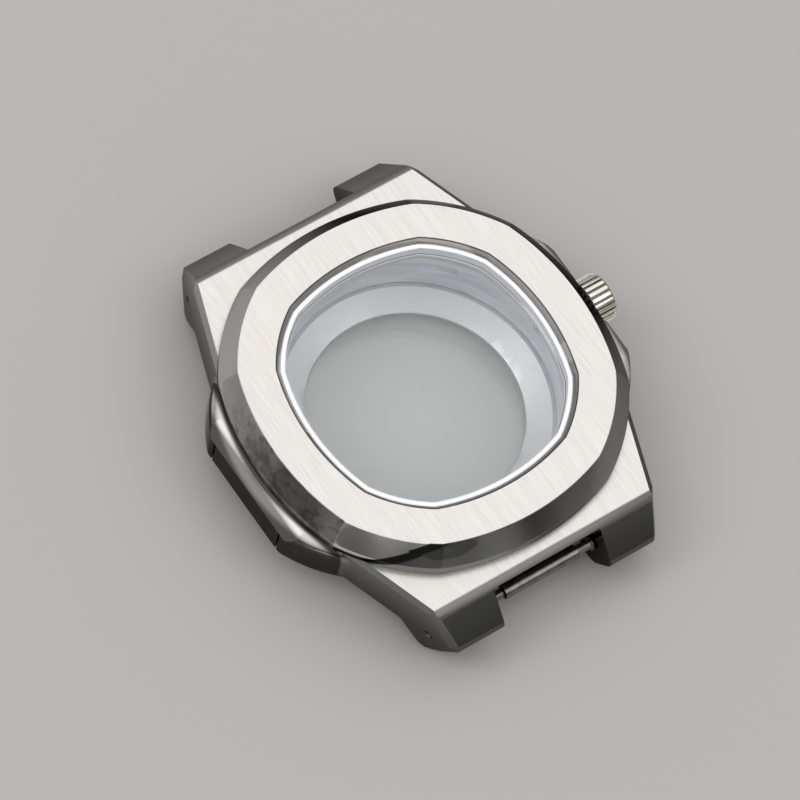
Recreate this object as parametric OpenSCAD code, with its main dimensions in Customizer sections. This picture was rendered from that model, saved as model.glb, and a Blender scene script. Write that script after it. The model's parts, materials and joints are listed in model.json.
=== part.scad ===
// Empty steel watch case: an octagonal bezel with a flat crystal, a case middle with two ears
// and four lugs, a pull-out crown, a screwed see-through back and two spring bars.
// Millimetres. +Z runs up through the crystal, +X points at the crown, +Y at 12 o'clock.
// The origin lies on the case's axis, at the lowest face of the back.

/* [Case] */
// Height from the lowest face of the back to the top of the bezel
case_height = 10.8; // [10.4:0.05:11.6]
// Distance from the centre to a lug's outermost point
lug_tip_y = 23.8; // [23.4:0.05:24.4]
// Thickness of the case middle, from its underside to the lugs' flat tops
plate_thickness = 4.5; // [4.2:0.05:4.7]
// Radius of the case's bore, which holds the movement ring
case_bore_r = 15; // [14.7:0.05:15.2]
// Radius of the round belly under the case middle, which takes the screwed back
belly_r = 17.7; // [17.5:0.05:18.2]
// Height of the belly's lower face
belly_low_z = 1.9; // [1.8:0.05:2.2]

/* [Bezel] */
// Half width of the bezel's top across its long sides
bezel_top_half = 17.58; // [17.3:0.02:17.9]
// How much farther the short corner sides stand out than the long sides
corner_rise = 0.75; // [0.6:0.05:0.9]
// Radius of the gently curved long sides
long_side_r = 25.9; // [25:0.1:31]
// Radius of the short corner sides
corner_side_r = 19.2; // [18.6:0.1:24]
// Height of the polished slope
slope_height = 2.1; // [1.8:0.05:2.3]
// How far the slope flares outwards on its way down
slope_flare = 1.6; // [1.3:0.05:1.7]
// Height of the wall between the slope and the case
bezel_wall = 1.02; // [0.8:0.02:1.3]
// Width of the flat brushed frame round the opening
frame_width = 3.71; // [3.5:0.01:3.9]
// Width and depth of the chamfer round the opening
opening_chamfer = 0.46; // [0.3:0.02:0.5]
// Radius of the bezel's round spigot, which centres it in the case
spigot_r = 16.3; // [16.1:0.05:16.5]
// Depth of that spigot
spigot_depth = 0.9; // [0.7:0.05:1.1]
// Width of the gasket round the spigot
bezel_gasket_w = 0.5; // [0.3:0.05:0.6]

/* [Crystal] */
// Thickness of the sapphire crystal
crystal_thickness = 1.5; // [1.2:0.05:1.7]
// Width of the white ring gasket round the crystal
crystal_gasket_w = 0.48; // [0.36:0.02:0.56]
// Height of that gasket
crystal_gasket_h = 0.55; // [0.4:0.05:0.8]
// Width of the ledge that the crystal rests on
crystal_ledge = 0.2; // [0.1:0.05:0.3]
// Thickness of that ledge
ledge_thickness = 0.75; // [0.5:0.05:0.8]

/* [Lugs] */
// Distance from the centre to where the flat tops roll down
lug_flat_y = 20.05; // [19.8:0.05:20.3]
// Half width of the case at the ends of the flat tops
lug_flat_half = 13.25; // [13:0.05:13.5]
// How much the lugs' sides flare towards the middle, as width per length
lug_flare = 0.36; // [0.32:0.01:0.42]
// Half width of the case middle behind the ears' ends
lug_root_half = 16.95; // [16.7:0.05:17.2]
// Slope of the lug's end, in degrees below level
end_slope = 48; // [44:0.5:50]
// Slope of the lug's undercut, in degrees from level
undercut_slope = 51.6; // [50:0.2:54]
// Slope of the lug's inner underside, in degrees from level
inner_slope = 42.5; // [40:0.5:45]
// Rounding where the flat top rolls into the lug's end
roll_r = 1.7; // [1.4:0.05:2]
// Rounding of the lug's outermost edge
nose_r = 0.95; // [0.8:0.05:1.2]
// Rounding of the lug's lowest edge
toe_r = 1.9; // [1.5:0.05:2.1]
// Height of the lug's lowest point
toe_z = 1.05; // [0.9:0.05:1.3]
// Half width of the notch for the strap
notch_half = 6.25; // [6:0.05:6.6]
// Distance from the centre to the notch's back wall
notch_wall_y = 18.9; // [18.7:0.05:19.2]
// Thickness of the lip that stays above the notch
notch_lip = 0.35; // [0.3:0.05:0.6]
// Width of the polished bevel along the flat tops' sides
side_bevel_w = 0.5; // [0.3:0.05:0.7]
// Height of that bevel
side_bevel_h = 0.35; // [0.2:0.05:0.6]
// Width, on the lug's side, of the polished band that follows the outer edge of its end
band_side_w = 0.8; // [0.5:0.05:1]
// Width, on the lug's end, of that band
band_end_w = 0.42; // [0.2:0.02:0.6]

/* [Ears] */
// Half width of the case across the flat faces of its ears
ear_half = 20.3; // [20.1:0.05:20.6]
// Radius of the ears' ends, seen from above
ear_end_r = 15.25; // [15:0.05:15.5]
// Distance from the case's centre line to the centre of that radius
ear_end_centre = 6.4; // [6.3:0.05:6.6]
// Width of the ear's sloped top
ear_slope_w = 1.25; // [1:0.05:1.4]
// Height of the ear's sloped top
ear_slope_h = 1.5; // [1.3:0.05:1.7]
// Rounding where the ear's top rolls into its slope
ear_roll_r = 1.6; // [1:0.05:1.7]
// Rounding of the ears' ends, seen from the side
ear_end_roll_r = 1.5; // [1.1:0.05:1.6]
// Rounding under the ears' ends
ear_low_roll_r = 0.3; // [0.2:0.05:0.8]
// Half length of the ear's crisp middle segment
ear_mid_half = 5.5; // [5:0.1:6]
// Width of the fine slits beside that segment
ear_slit_w = 0.22; // [0.15:0.01:0.35]
// Depth of these slits
ear_slit_depth = 0.8; // [0.6:0.05:0.9]

/* [Crown] */
// Radius over the crown's flutes
crown_r = 2.5; // [2.4:0.05:2.8]
// Length of the crown
crown_length = 2.6; // [2.4:0.05:3]
// Distance from the case's axis to the crown's seat
crown_seat_x = 19.2; // [19.2:0.05:19.4]
// How far the crown's axis lies below the flat tops
crown_drop = 1.88; // [1.7:0.02:2]
// Number of flutes round the crown
flutes = 24; // [18:1:28]
// Width of a flute's groove
flute_w = 0.3; // [0.18:0.02:0.34]
// Depth of a flute's groove
flute_depth = 0.28; // [0.14:0.02:0.3]
// Clearance between the crown and the walls of its recess
crown_gap = 0.15; // [0.1:0.05:0.4]
// Radius of the crown's post, which runs in the tube
post_r = 0.95; // [0.8:0.05:1]
// Radius of the threaded hole for the stem
stem_hole_r = 0.45; // [0.4:0.05:0.5]
// Depth of that hole
stem_hole_depth = 3.2; // [2.5:0.1:3.6]
// Radius of the way for the stem through the case's wall
stem_way_r = 0.8; // [0.7:0.05:0.85]
// Radius of the hole for the stem through the movement ring
ring_hole_r = 0.55; // [0.5:0.05:0.7]
// Outer radius of the crown tube
tube_r = 1.45; // [1.4:0.05:1.55]
// How far the tube stands out of its seat
tube_reach = 1.6; // [1.4:0.05:1.7]
// Space between the tube's end and the crown's cap
tube_end_gap = 0.2; // [0.1:0.05:0.3]
// Thickness of the metal between the tube's inner end and the bezel's recess
tube_shoulder = 0.25; // [0.2:0.05:0.4]
// How far the crown's post stays back from the tube's inner end
post_inset = 0.15; // [0.1:0.05:0.3]
// Thickness of the crown's skirt
crown_wall = 0.7; // [0.6:0.02:0.75]
// Width of the bevels at both ends of the crown
crown_bevel = 0.25; // [0.15:0.05:0.35]
// How far the seal's washer lies inside the crown's skirt
washer_inset = 0.1; // [0.05:0.05:0.2]
// Thickness of that washer
washer_t = 0.2; // [0.15:0.05:0.25]
// Length of the crown's seal
crown_seal_t = 0.5; // [0.4:0.05:0.6]

/* [Screwed back] */
// Radius of the back's flange
back_r = 17; // [16.9:0.05:17.3]
// Radius of the back's thread
thread_r = 15.9; // [15.75:0.05:16]
// Height of the thread
thread_h = 2.3; // [2.1:0.05:2.6]
// Radius of the window's edge
window_r = 10.9; // [10.5:0.1:11.2]
// Height of the window's edge
window_edge_z = 1.68; // [1.6:0.02:1.8]
// Thickness of the window's ledge
window_ledge = 0.48; // [0.4:0.02:0.55]
// Width of the window's ledge
window_ledge_w = 1.1; // [0.9:0.05:1.3]
// Inner radius of the step under the movement ring
ring_step_r = 13.34; // [13.1:0.02:13.5]
// Height of that step
ring_step_z = 2.65; // [2.4:0.05:2.9]
// Thickness of the back's glass
back_glass_t = 1; // [0.8:0.05:1.1]
// Width of the gasket round the back's glass
window_gasket_w = 0.35; // [0.25:0.05:0.5]
// Number of notches for the case opener
opener_notches = 6; // [4:1:12]
// Width of an opener notch
opener_notch_w = 2.4; // [1.8:0.1:3]
// Radial depth of an opener notch
opener_notch_d = 1.1; // [0.8:0.05:1.4]
// Height of an opener notch
opener_notch_h = 0.9; // [0.6:0.05:1.1]
// Width of the bevel round the back's flange
back_bevel = 0.4; // [0.2:0.05:0.6]
// Inner radius of the gasket on the flange
back_gasket_r = 16.15; // [16.05:0.05:16.3]
// Width of that gasket
back_gasket_w = 0.6; // [0.4:0.05:0.7]
// Height of that gasket
back_gasket_h = 0.5; // [0.3:0.05:0.6]

/* [Movement ring] */
// Inner radius of the plastic ring, which holds the movement
movement_r = 13.75; // [13.6:0.05:13.9]
// Angle of the ring's shallow pocket, from the crown towards 12 o'clock
pocket_angle = 49; // [40:1:60]
// Width of that pocket
pocket_w = 4; // [3:0.1:5]
// Height of that pocket
pocket_h = 1.5; // [1:0.1:2]
// Depth of that pocket
pocket_depth = 0.3; // [0.2:0.05:0.5]

/* [Spring bars] */
// Distance from the centre to the bars
bar_y = 20.75; // [20.6:0.05:20.9]
// Height of the bars
bar_z = 3.75; // [3.5:0.05:3.9]
// Radius of a bar's tube and of its flanges
bar_r = 0.75; // [0.7:0.01:0.85]
// Wall of a bar's tube
bar_wall = 0.2; // [0.15:0.01:0.25]
// Radius of the sprung pins' tips
tip_r = 0.42; // [0.35:0.01:0.46]
// How far a tip reaches into its lug
tip_reach = 1.3; // [1:0.05:1.4]
// How far a pin can be pushed in
pin_travel = 1.5; // [1.4:0.05:1.7]
// Space between a pushed pin's flange and the tube's end
pin_stop_gap = 0.1; // [0.1:0.05:0.3]
// Space between a resting pin's flange and the lug
bar_end_gap = 0.1; // [0.1:0.05:0.2]
// Thickness of a pin's flange
flange_t = 0.25; // [0.2:0.05:0.4]
// Length of a pin's shank in the tube
shank_length = 1.9; // [1.7:0.05:2.2]
// Turns of the spring between the two pins
spring_turns = 9; // [6:1:12]
// Radius of the spring's wire
wire_r = 0.08; // [0.06:0.01:0.1]

/* [Fits] */
// Clearance between parts that turn or slide
running = 0.04; // [0.02:0.01:0.06]
// Clearance between parts that only lie in each other
seat = 0.02; // [0.01:0.01:0.03]

/* [Hidden] */
$fn = 96;
// Facets of the very wide arcs
wide_fn = 240;
// How far a cutter passes through what it cuts
cut = 1;
steel = "#cac8c4";
bright_steel = "#b4b3b1";
black_rubber = "#1e1e20";
white_nylon = "#f4f4f2";
milky_plastic = "#c4c3cc";
sapphire = "#d9e4ea";
spring_steel = "#8f8f92";

// Levels and half widths of the bezel
bezel_foot_z = case_height - slope_height - bezel_wall;
bezel_foot_half = bezel_top_half + slope_flare;
opening_half = bezel_top_half - frame_width;
gasket_top_z = case_height - opening_chamfer;
gasket_low_z = gasket_top_z - crystal_gasket_h;
gasket_half = opening_half - opening_chamfer;
crystal_half = gasket_half - crystal_gasket_w;
crystal_low_z = gasket_top_z - crystal_thickness;
ledge_low_z = crystal_low_z - ledge_thickness;
spigot_low_z = bezel_foot_z - spigot_depth;
recess_r = spigot_r + bezel_gasket_w;

// Levels of the case middle
plate_top_z = bezel_foot_z;
plate_low_z = plate_top_z - plate_thickness;
lug_root_y = lug_flat_y - (lug_root_half - lug_flat_half) / lug_flare;

// Levels and radii of the back
thread_top_z = belly_low_z + thread_h;
thread_inner_r = case_bore_r + 2 * running;
glass_bore_r = window_r + window_ledge_w;
glass_top_z = window_edge_z - window_ledge;
glass_low_z = glass_top_z - back_glass_t;
back_gasket_outer_r = back_gasket_r + back_gasket_w;

// Places along the crown's axis
crown_z = plate_top_z - crown_drop;
crown_low_x = crown_seat_x + running;
cavity_r = crown_r - crown_wall;
cavity_end_x = crown_seat_x + tube_reach + tube_end_gap;
tube_low_x = recess_r + tube_shoulder;
post_low_x = tube_low_x + post_inset;
washer_end_x = crown_low_x + washer_inset + washer_t;

// Places along a spring bar
bar_end_x = notch_half - bar_end_gap;
bar_tube_half = bar_end_x - flange_t - pin_travel - pin_stop_gap;
bar_bore_r = bar_r - bar_wall;
shank_r = bar_bore_r - running;
shank_low_x = bar_tube_half - shank_length;
tip_end_x = notch_half + tip_reach;

// Unit vector at an angle
function unit(angle) = [cos(angle), sin(angle)];

// Circles and tangent points of the lug's side profile, as [y, z]
end_normal = 90 - end_slope;
undercut_normal = undercut_slope - 90;
inner_normal = -90 - inner_slope;
roll_centre = [lug_flat_y, plate_top_z - roll_r];
roll_end = roll_centre + roll_r * unit(end_normal);
nose_y = lug_tip_y - nose_r;
nose_z = roll_end.y - (nose_r + (nose_y - roll_end.x) * cos(end_normal)) / sin(end_normal);
nose_centre = [nose_y, nose_z];
nose_end = nose_centre + nose_r * unit(undercut_normal);
toe_centre_z = toe_z + toe_r;
toe_centre_y = nose_end.x
    - (toe_r + (toe_centre_z - nose_end.y) * sin(undercut_normal)) / cos(undercut_normal);
toe_centre = [toe_centre_y, toe_centre_z];
toe_end = toe_centre + toe_r * unit(inner_normal);

// The polished band round the lug's end is cut as flats that face these ways in the side view
band_angles = [78, 66, 54, end_normal, 22, 6, -10, -26, undercut_normal];
// Place of the lug's side for a point of the side view, as [x, y, z]
function on_side(point) =
    [lug_flat_half + (lug_flat_y - point.x) * lug_flare, point.x, point.y];
// Point of the side view's edge that faces an angle
function rim_point(angle) =
    angle > end_normal ? roll_centre + roll_r * unit(angle) : nose_centre + nose_r * unit(angle);
// Share of the band's full width, which grows from nothing over the roll
function band_share(angle) = angle > end_normal ? (90 - angle) / (90 - end_normal) : 1;

// The underside runs up from the toe until it is inside the plate
inner_end_z = plate_low_z + plate_thickness / 3;
inner_end = [toe_end.x - (inner_end_z - toe_end.y) / tan(inner_slope), inner_end_z];

// Repeats its children in all four corners
module four_ways() {
    children();
    mirror([1, 0, 0]) children();
    mirror([0, 1, 0]) children();
    rotate(180) children();
}

// Solid with eight gently curved sides, given by the half width across its long sides
module octagon(low_half, top_half, height) {
    low_growth = low_half - bezel_top_half;
    top_growth = top_half - bezel_top_half;
    intersection_for (side = [0:7]) {
        is_corner = side % 2 == 1;
        side_r = is_corner ? corner_side_r : long_side_r;
        reach = bezel_top_half + (is_corner ? corner_rise : 0);
        rotate(45 * side)
            translate([reach - side_r, 0, 0])
                rotate(180)
                    cylinder(h = height, r1 = side_r + low_growth, r2 = side_r + top_growth, $fn = wide_fn);
    }
}

// Round ring between two levels
module ring(inner_r, outer_r, low_z, top_z) {
    translate([0, 0, low_z])
        difference() {
            cylinder(r = outer_r, h = top_z - low_z);
            translate([0, 0, -cut]) cylinder(r = inner_r, h = top_z - low_z + 2 * cut);
        }
}

// Cylinder along the crown's axis
module along_crown(r, low_x, end_x) {
    translate([low_x, 0, crown_z]) rotate([0, 90, 0]) cylinder(r = r, h = end_x - low_x);
}

// Side view of a lug, from the plate to its tip
module lug_profile() {
    polygon([
        [inner_end.x, plate_top_z],
        [roll_centre.x, plate_top_z],
        roll_end,
        nose_centre + nose_r * unit(end_normal),
        nose_end,
        toe_centre + toe_r * unit(undercut_normal),
        toe_end,
        inner_end
    ]);
    translate(roll_centre) circle(roll_r);
    translate(nose_centre) circle(nose_r);
    translate(toe_centre) circle(toe_r);
}

// Side view of the case middle
module case_profile() {
    lug_profile();
    mirror([1, 0]) lug_profile();
    translate([-lug_flat_y, plate_low_z]) square([2 * lug_flat_y, plate_thickness]);
}

// Plan of the case middle without its ears
module lug_plan() {
    end_y = lug_tip_y + cut;
    end_half = lug_flat_half - (end_y - lug_flat_y) * lug_flare;
    polygon([
        [lug_root_half, -lug_root_y], [lug_root_half, lug_root_y],
        [end_half, end_y], [-end_half, end_y],
        [-lug_root_half, lug_root_y], [-lug_root_half, -lug_root_y],
        [-end_half, -end_y], [end_half, -end_y]
    ]);
}

// Ear on the crown's side: its section along the case, cut by its rounded ends
module ear() {
    edge_x = ear_half - ear_slope_w;
    turn = atan(ear_slope_h / ear_slope_w);
    start_x = edge_x - ear_roll_r * tan(turn / 2);
    centre = [start_x, plate_top_z - ear_roll_r];
    intersection() {
        rotate([90, 0, 0])
            linear_extrude(2 * ear_end_r, center = true) {
                polygon([
                    [case_bore_r, plate_low_z], [case_bore_r, plate_top_z], [start_x, plate_top_z],
                    centre + ear_roll_r * unit(90 - turn),
                    [ear_half, plate_top_z - ear_slope_h], [ear_half, plate_low_z]
                ]);
                translate(centre) circle(ear_roll_r);
            }
        translate([ear_end_centre, 0, 0])
            rotate_extrude($fn = wide_fn) {
                translate([0, plate_low_z]) square([ear_end_r - ear_end_roll_r, plate_thickness]);
                translate([0, plate_low_z + ear_low_roll_r])
                    square([ear_end_r, plate_thickness - ear_low_roll_r - ear_end_roll_r]);
                translate([ear_end_r - ear_end_roll_r, plate_top_z - ear_end_roll_r])
                    circle(ear_end_roll_r);
                translate([0, plate_low_z]) square([ear_end_r - ear_low_roll_r, plate_thickness / 2]);
                translate([ear_end_r - ear_low_roll_r, plate_low_z + ear_low_roll_r])
                    circle(ear_low_roll_r);
            }
    }
}

// Fine slits beside the ear's middle segment
module ear_slits() {
    slit_top_z = plate_top_z - ear_slope_h;
    for (side = [-1, 1])
        translate([ear_half - ear_slit_depth, side * ear_mid_half - ear_slit_w / 2, plate_low_z - cut])
            cube([ear_slit_depth + cut, ear_slit_w, slit_top_z - plate_low_z + cut]);
}

// Polished bevel along the side of a lug's flat top
module side_bevel_cut() {
    flare_angle = atan(lug_flare);
    bevel_length = (lug_flat_y - lug_root_y) / cos(flare_angle);
    translate([lug_flat_half, lug_flat_y, plate_top_z])
        rotate(flare_angle)
            rotate([90, 0, 0])
                translate([0, 0, -cut])
                    linear_extrude(bevel_length + cut)
                        polygon([
                            [-side_bevel_w, 0], [0, -side_bevel_h], [cut, -side_bevel_h],
                            [cut, cut], [-side_bevel_w, cut]
                        ]);
}

// One flat of the polished band, through its two edges on the lug's side and end
module band_flat(angle) {
    reach = lug_flat_half / 2;
    rim = rim_point(angle);
    side_edge = on_side(rim - band_share(angle) * band_side_w * unit(angle));
    end_edge = on_side(rim) - [band_share(angle) * band_end_w, 0, 0];
    tangent = [lug_flare * sin(angle), -sin(angle), cos(angle)];
    way = cross(tangent, side_edge - end_edge);
    normal = way / norm(way);
    translate(side_edge)
        rotate([0, -asin(normal.z), atan2(normal.y, normal.x)])
            translate([0, -reach, -reach]) cube(2 * reach);
}

// Everything that is cut off the outer side of a lug
module lug_facets() {
    side_bevel_cut();
    for (angle = band_angles) band_flat(angle);
}

// Strap notch at 12 o'clock, open towards the strap, and the holes for the spring bar's tips
module strap_notch() {
    translate([-notch_half, notch_wall_y, -cut])
        cube([2 * notch_half, lug_tip_y, plate_top_z - notch_lip + cut]);
    translate([0, bar_y, bar_z])
        rotate([0, 90, 0]) cylinder(r = tip_r + running, h = 2 * lug_root_half, center = true);
}

module mid_case() {
    color(steel)
    difference() {
        union() {
            intersection() {
                linear_extrude(plate_top_z) lug_plan();
                rotate([90, 0, 90])
                    linear_extrude(2 * ear_half, center = true) case_profile();
            }
            ear();
            mirror([1, 0, 0]) ear();
            translate([0, 0, belly_low_z]) cylinder(r = belly_r, h = plate_low_z - belly_low_z + cut);
        }
        four_ways() lug_facets();
        strap_notch();
        mirror([0, 1, 0]) strap_notch();
        mirror([1, 0, 0]) ear_slits();
        // Bore, the bezel's recess and the screwed back's thread and gasket groove
        translate([0, 0, -cut]) cylinder(r = case_bore_r, h = case_height);
        translate([0, 0, spigot_low_z]) cylinder(r = recess_r, h = case_height);
        translate([0, 0, belly_low_z - cut]) cylinder(r = thread_r + running, h = thread_h + 2 * seat + cut);
        ring(back_gasket_r - seat, back_gasket_outer_r + seat, belly_low_z - cut,
            belly_low_z + back_gasket_h + seat);
        // Recess and hole for the crown
        translate([crown_seat_x, -crown_r - crown_gap, 0])
            cube([ear_half, 2 * (crown_r + crown_gap), case_height]);
        along_crown(tube_r + seat, tube_low_x - seat, ear_half);
        along_crown(stem_way_r, 0, ear_half);
    }
}

module bezel() {
    color(steel)
    difference() {
        union() {
            translate([0, 0, bezel_foot_z]) octagon(bezel_foot_half, bezel_foot_half, bezel_wall);
            translate([0, 0, bezel_foot_z + bezel_wall])
                octagon(bezel_foot_half, bezel_top_half, slope_height);
            translate([0, 0, spigot_low_z]) cylinder(r = spigot_r, h = spigot_depth + cut / 2);
        }
        // Chamfer, gasket seat, crystal seat and the way through, from the top down
        translate([0, 0, gasket_top_z])
            octagon(gasket_half, opening_half + opening_chamfer, 2 * opening_chamfer);
        translate([0, 0, gasket_low_z]) octagon(gasket_half, gasket_half, crystal_gasket_h + seat);
        translate([0, 0, crystal_low_z])
            octagon(crystal_half + seat, crystal_half + seat, crystal_thickness);
        translate([0, 0, spigot_low_z])
            octagon(crystal_half - crystal_ledge, crystal_half - crystal_ledge, case_height);
        translate([0, 0, spigot_low_z - cut]) cylinder(r = case_bore_r, h = ledge_low_z - spigot_low_z + cut);
    }
}

module bezel_gasket() {
    color(black_rubber)
        ring(spigot_r + seat, recess_r - seat, spigot_low_z + seat, plate_top_z - seat);
}

module crystal() {
    color(sapphire, 0.3)
        translate([0, 0, crystal_low_z]) octagon(crystal_half, crystal_half, crystal_thickness);
}

module crystal_gasket() {
    color(white_nylon)
    difference() {
        translate([0, 0, gasket_low_z]) octagon(gasket_half - seat, gasket_half - seat, crystal_gasket_h);
        translate([0, 0, gasket_low_z - cut])
            octagon(crystal_half + seat, crystal_half + seat, crystal_gasket_h + 2 * cut);
    }
}

module movement_ring() {
    pocket_x = sqrt(movement_r * movement_r - pocket_w * pocket_w / 4);
    color(milky_plastic)
    difference() {
        ring(movement_r, case_bore_r - seat, ring_step_z + 2 * running, ledge_low_z - seat);
        along_crown(ring_hole_r, 0, ear_half);
        rotate(pocket_angle)
            translate([pocket_x - cut, -pocket_w / 2, crown_z - pocket_h / 2])
                cube([cut + movement_r - pocket_x + pocket_depth, pocket_w, pocket_h]);
    }
}

module crown_tube() {
    color(bright_steel)
    difference() {
        along_crown(tube_r, tube_low_x, crown_seat_x + tube_reach);
        along_crown(post_r + running, tube_low_x - cut, crown_seat_x + tube_reach + cut);
    }
}

module crown() {
    end_x = crown_low_x + crown_length;
    color(steel)
    difference() {
        union() {
            difference() {
                union() {
                    along_crown(crown_r, crown_low_x + crown_bevel, end_x - crown_bevel);
                    translate([crown_low_x, 0, crown_z]) rotate([0, 90, 0])
                        cylinder(r1 = crown_r - crown_bevel, r2 = crown_r, h = crown_bevel);
                    translate([end_x - crown_bevel, 0, crown_z]) rotate([0, 90, 0])
                        cylinder(r1 = crown_r, r2 = crown_r - crown_bevel, h = crown_bevel);
                }
                along_crown(cavity_r, crown_low_x - cut, cavity_end_x);
                // Flutes, open at both ends
                for (flute = [0:flutes - 1])
                    translate([crown_low_x - cut, 0, crown_z])
                        rotate([360 * flute / flutes, 0, 0])
                            translate([0, crown_r - flute_depth, -flute_w / 2])
                                cube([crown_length + 2 * cut, cut, flute_w]);
            }
            along_crown(post_r, post_low_x, cavity_end_x + cut / 2);
        }
        along_crown(stem_hole_r, post_low_x - cut, post_low_x + stem_hole_depth);
    }
}

// Seal in the crown's skirt, which slides on the tube
module crown_gasket() {
    color(black_rubber)
    difference() {
        along_crown(cavity_r - running, washer_end_x + seat, washer_end_x + seat + crown_seal_t);
        along_crown(tube_r + running, crown_low_x, cavity_end_x);
    }
}

// Thin washer that keeps the seal in the skirt
module crown_washer() {
    color(bright_steel)
    difference() {
        along_crown(cavity_r - running, crown_low_x + washer_inset, washer_end_x);
        along_crown(tube_r + 2 * running, crown_low_x, cavity_end_x);
    }
}

module caseback_ring() {
    color(steel)
    difference() {
        rotate_extrude($fn = wide_fn)
            polygon([
                [glass_bore_r, 0], [back_r - back_bevel, 0], [back_r, back_bevel],
                [back_r, belly_low_z - seat],
                [thread_r, belly_low_z - seat], [thread_r, thread_top_z - seat],
                [thread_inner_r, thread_top_z - seat], [thread_inner_r, ring_step_z],
                [ring_step_r, ring_step_z], [window_r, window_edge_z], [window_r, glass_top_z],
                [glass_bore_r, glass_top_z]
            ]);
        for (notch = [0:opener_notches - 1])
            rotate(360 * (notch + 0.5) / opener_notches)
                translate([back_r - opener_notch_d, -opener_notch_w / 2, -cut])
                    cube([opener_notch_d + cut, opener_notch_w, opener_notch_h + cut]);
    }
}

module caseback_glass() {
    color(sapphire, 0.3)
        translate([0, 0, glass_low_z]) cylinder(r = glass_bore_r - window_gasket_w, h = back_glass_t - seat);
}

module caseback_window_gasket() {
    color(black_rubber)
        ring(glass_bore_r - window_gasket_w + running, glass_bore_r - running, glass_low_z,
            glass_top_z - seat);
}

module caseback_gasket() {
    color(black_rubber)
        ring(back_gasket_r, back_gasket_outer_r, belly_low_z, belly_low_z + back_gasket_h);
}

// Puts a spring bar's part at 12 or 6 o'clock
module at_bar(side) {
    translate([0, side * bar_y, bar_z]) children();
}

module bar_tube(side) {
    color(bright_steel)
        at_bar(side)
            rotate([0, 90, 0])
                difference() {
                    cylinder(r = bar_r, h = 2 * bar_tube_half, center = true);
                    cylinder(r = bar_bore_r, h = 2 * (bar_tube_half + cut), center = true);
                }
}

// Pin with its shank in the tube, a flange and a tip in the lug; way is -1 on the left
module bar_pin(side, way) {
    color(bright_steel)
        at_bar(side)
            rotate([0, 90 * way, 0]) {
                translate([0, 0, shank_low_x]) cylinder(r = shank_r, h = bar_end_x - shank_low_x);
                translate([0, 0, bar_end_x - flange_t]) cylinder(r = bar_r, h = flange_t);
                translate([0, 0, shank_low_x]) cylinder(r = tip_r, h = tip_end_x - shank_low_x);
            }
}

// Coil spring between the two pins
module bar_spring(side) {
    steps = 10;
    sides = 6;
    coil_r = bar_bore_r - wire_r - running;
    half = shank_low_x - wire_r - seat;
    rings = spring_turns * steps;
    points = [for (i = [0:rings], j = [0:sides - 1])
        let (
            along = half * (2 * i / rings - 1),
            turn = 360 * i / steps,
            r = coil_r + wire_r * cos(360 * j / sides)
        )
        [along + wire_r * sin(360 * j / sides), r * cos(turn), r * sin(turn)]];
    tube_faces = [for (i = [0:rings - 1], j = [0:sides - 1])
        let (k = (j + 1) % sides)
        each [
            [i * sides + j, i * sides + k, (i + 1) * sides + k],
            [i * sides + j, (i + 1) * sides + k, (i + 1) * sides + j]
        ]];
    start_face = [for (j = [sides - 1:-1:0]) j];
    end_face = [for (j = [0:sides - 1]) rings * sides + j];
    color(spring_steel)
        at_bar(side) polyhedron(points, concat(tube_faces, [start_face, end_face]));
}

module bar_12_tube() bar_tube(1);
module bar_12_pin_left() bar_pin(1, -1);
module bar_12_pin_right() bar_pin(1, 1);
module bar_12_spring() bar_spring(1);
module bar_6_tube() bar_tube(-1);
module bar_6_pin_left() bar_pin(-1, -1);
module bar_6_pin_right() bar_pin(-1, 1);
module bar_6_spring() bar_spring(-1);

mid_case();
bezel();
bezel_gasket();
crystal();
crystal_gasket();
movement_ring();
crown_tube();
crown();
crown_gasket();
crown_washer();
caseback_ring();
caseback_glass();
caseback_window_gasket();
caseback_gasket();
bar_12_tube();
bar_12_pin_left();
bar_12_pin_right();
bar_12_spring();
bar_6_tube();
bar_6_pin_left();
bar_6_pin_right();
bar_6_spring();
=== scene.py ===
"""Looks of the empty watch case: brushed and polished steel, glass, seals, crown, springs and the studio."""

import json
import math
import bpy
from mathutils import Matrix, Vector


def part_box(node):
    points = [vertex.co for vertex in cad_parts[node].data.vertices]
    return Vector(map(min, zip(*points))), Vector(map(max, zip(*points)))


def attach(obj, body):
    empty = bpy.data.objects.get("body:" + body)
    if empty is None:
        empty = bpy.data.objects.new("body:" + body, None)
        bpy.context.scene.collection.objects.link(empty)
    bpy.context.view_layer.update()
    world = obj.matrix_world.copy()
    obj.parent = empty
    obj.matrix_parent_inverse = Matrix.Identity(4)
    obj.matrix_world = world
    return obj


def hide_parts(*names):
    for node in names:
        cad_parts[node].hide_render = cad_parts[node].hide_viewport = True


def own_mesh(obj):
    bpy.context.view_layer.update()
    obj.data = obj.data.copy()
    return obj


bl_info = {
    "name": "Empty watch case",
    "version": (1, 0, 0),
    "blender": (4, 5, 0),
    "location": "View3D > Sidebar > Watch case",
    "description": "Dresses the packed watch case in its finishes and sets up its studio",
    "category": "Object",
}

import bmesh
import bpy
from mathutils import Matrix, Vector

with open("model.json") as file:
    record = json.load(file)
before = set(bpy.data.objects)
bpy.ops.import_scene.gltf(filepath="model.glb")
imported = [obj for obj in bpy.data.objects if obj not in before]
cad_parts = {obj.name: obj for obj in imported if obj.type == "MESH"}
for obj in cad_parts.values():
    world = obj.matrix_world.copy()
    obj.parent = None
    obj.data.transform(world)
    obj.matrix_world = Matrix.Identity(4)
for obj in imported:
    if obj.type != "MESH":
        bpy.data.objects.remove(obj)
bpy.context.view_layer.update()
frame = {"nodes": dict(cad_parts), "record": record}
MM = 0.001
# Points closer than this are one point
MERGE = 0.0004 * MM
# Faces that turn less than this, in degrees, are one plane
LEVEL_DEG = 0.15
# Edges sharper than this, in degrees, are broken
EDGE_DEG = 30.0
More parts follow.
